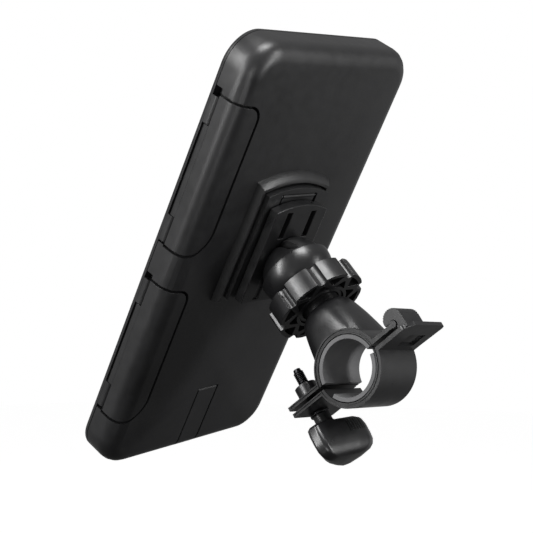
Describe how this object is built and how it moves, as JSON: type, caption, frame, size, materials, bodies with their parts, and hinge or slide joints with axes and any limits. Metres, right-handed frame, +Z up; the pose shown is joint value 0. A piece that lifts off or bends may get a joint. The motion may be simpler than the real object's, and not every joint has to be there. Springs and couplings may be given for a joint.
{
  "type": "phone mount",
  "caption": "Handlebar clamp with a thumb screw, hooked lower jaw and ball joint, carrying a latched weatherproof phone case that slides onto its plate.",
  "frame": {"origin": "centre of the handlebar bore, midway along the clamp", "axes": "+X along the handlebar towards the rider's right, +Y forward, away from the rider, +Z up"},
  "size_m": [0.1166, 0.1425, 0.1665],
  "materials": {
    "back_pad": "foam",
    "ball_seat": "plain nylon",
    "ball_stud": "satin moulded black",
    "case_seal": "matte",
    "front_frame": "fine matte",
    "latch_lower_left": "fine matte",
    "latch_lower_left_pin": "zinc",
    "latch_lower_right": "fine matte",
    "latch_lower_right_pin": "zinc",
    "latch_upper_left": "fine matte",
    "latch_upper_left_pin": "zinc",
    "latch_upper_right": "fine matte",
    "latch_upper_right_pin": "zinc",
    "lower_jaw": "satin moulded black",
    "lower_liner": "matte",
    "mount_plate": "satin moulded black",
    "neck_screw": "zinc",
    "port_door": "fine matte",
    "port_door_pin": "zinc",
    "rear_shell": "fine matte",
    "receiver_screw_1": "zinc",
    "receiver_screw_2": "zinc",
    "receiver_screw_3": "zinc",
    "receiver_screw_4": "zinc",
    "release_tongue": "fine matte",
    "ring_nut": "satin moulded black",
    "screw_washer": "zinc",
    "side_pad_left": "foam",
    "side_pad_right": "foam",
    "slide_receiver": "fine matte",
    "socket_bowl": "satin moulded black",
    "stud_screw": "zinc",
    "threaded_insert": "bare",
    "thumb_bolt": "dark zinc",
    "thumb_knob": "satin moulded black",
    "tongue_pin": "zinc",
    "touch_window": "clear film",
    "upper_jaw": "satin moulded black",
    "upper_liner": "matte"
  },
  "bodies": {
    "clamp": {"upper_jaw": "upper_jaw", "upper_liner": "upper_liner", "socket_bowl": "socket_bowl", "neck_screw": "neck_screw", "threaded_insert": "threaded_insert"},
    "lower_jaw": {"lower_jaw": "lower_jaw", "lower_liner": "lower_liner"},
    "screw_carriage": {"screw_washer": "screw_washer"},
    "thumb_screw": {"thumb_bolt": "thumb_bolt", "thumb_knob": "thumb_knob"},
    "seat": {"ball_seat": "ball_seat"},
    "ring_nut": {"ring_nut": "ring_nut"},
    "ball": {"ball_stud": "ball_stud", "stud_screw": "stud_screw"},
    "plate": {"mount_plate": "mount_plate"},
    "case": {"rear_shell": "rear_shell", "slide_receiver": "slide_receiver", "receiver_screw_1": "receiver_screw_1", "receiver_screw_2": "receiver_screw_2", "receiver_screw_3": "receiver_screw_3", "receiver_screw_4": "receiver_screw_4", "front_frame": "front_frame", "touch_window": "touch_window", "case_seal": "case_seal", "back_pad": "back_pad", "side_pad_left": "side_pad_left", "side_pad_right": "side_pad_right", "tongue_pin": "tongue_pin", "port_door_pin": "port_door_pin", "latch_upper_left_pin": "latch_upper_left_pin", "latch_upper_right_pin": "latch_upper_right_pin", "latch_lower_left_pin": "latch_lower_left_pin", "latch_lower_right_pin": "latch_lower_right_pin"},
    "release_tongue": {"release_tongue": "release_tongue"},
    "port_door": {"port_door": "port_door"},
    "latch_upper_left": {"latch_upper_left": "latch_upper_left"},
    "latch_upper_right": {"latch_upper_right": "latch_upper_right"},
    "latch_lower_left": {"latch_lower_left": "latch_lower_left"},
    "latch_lower_right": {"latch_lower_right": "latch_lower_right"}
  },
  "joints": [
    {"name": "jaw_open", "type": "hinge", "parent": "clamp", "child": "lower_jaw", "pos_m": [0, 0.01925, 0.01599], "axis": [1, 0, 0], "range_deg": [0, 1.44]},
    {"name": "screw_feed", "type": "slide", "parent": "clamp", "child": "screw_carriage", "axis": [0, 0.5606, -0.8281], "range_m": [0, 0.0014]},
    {"name": "thumb_turn", "type": "hinge", "parent": "screw_carriage", "child": "thumb_screw", "pos_m": [0.0005, -0.02194, -0.01486], "axis": [0, 0.5606, -0.8281], "range_deg": [0, 720]},
    {"name": "ball_swivel", "type": "hinge", "parent": "clamp", "child": "seat", "pos_m": [0, -0.03234, 0.0376], "axis": [0, -0.6521, 0.7581], "continuous": true},
    {"name": "ball_tilt", "type": "hinge", "parent": "seat", "child": "ball", "pos_m": [0, -0.03234, 0.0376], "axis": [0.9801, 0.1505, 0.1294], "range_deg": [-38, 7]},
    {"name": "ball_spin", "type": "hinge", "parent": "ball", "child": "plate", "pos_m": [0, -0.03234, 0.0376], "axis": [-0.0523, 0.825, -0.5628], "continuous": true},
    {"name": "ring_nut_turn", "type": "hinge", "parent": "clamp", "child": "ring_nut", "pos_m": [0, -0.03234, 0.0376], "axis": [0, -0.6521, 0.7581], "continuous": true},
    {"name": "case_slide", "type": "slide", "parent": "plate", "child": "case", "axis": [-0.1407, -0.564, -0.8137], "range_m": [0, 0.045]},
    {"name": "release_press", "type": "hinge", "parent": "case", "child": "release_tongue", "pos_m": [0.00434, -0.02792, 0.06593], "axis": [-0.9887, 0.0366, 0.1456], "range_deg": [0, 7], "stiffness_Nm_per_rad": 0.15},
    {"name": "port_door_open", "type": "hinge", "parent": "case", "child": "port_door", "pos_m": [-0.00878, -0.08573, -0.00861], "axis": [0.9887, -0.0366, -0.1456], "range_deg": [0, 90]},
    {"name": "latch_upper_left_open", "type": "hinge", "parent": "case", "child": "latch_upper_left", "pos_m": [-0.04511, -0.05885, 0.05389], "axis": [0.1407, 0.564, 0.8137], "range_deg": [0, 95]},
    {"name": "latch_upper_right_open", "type": "hinge", "parent": "case", "child": "latch_upper_right", "pos_m": [0.04585, -0.06222, 0.04049], "axis": [-0.1407, -0.564, -0.8137], "range_deg": [0, 95]},
    {"name": "latch_lower_left_open", "type": "hinge", "parent": "case", "child": "latch_lower_left", "pos_m": [-0.04511, -0.05885, 0.05389], "axis": [0.1407, 0.564, 0.8137], "range_deg": [0, 95]},
    {"name": "latch_lower_right_open", "type": "hinge", "parent": "case", "child": "latch_lower_right", "pos_m": [0.04585, -0.06222, 0.04049], "axis": [-0.1407, -0.564, -0.8137], "range_deg": [0, 95]}
  ],
  "couplings": [
    {"joint": "screw_feed", "follows": "thumb_turn", "m_per_rad": 0.00011141},
    {"joint": "jaw_open", "follows": "thumb_turn", "ratio": 0.002}
  ]
}
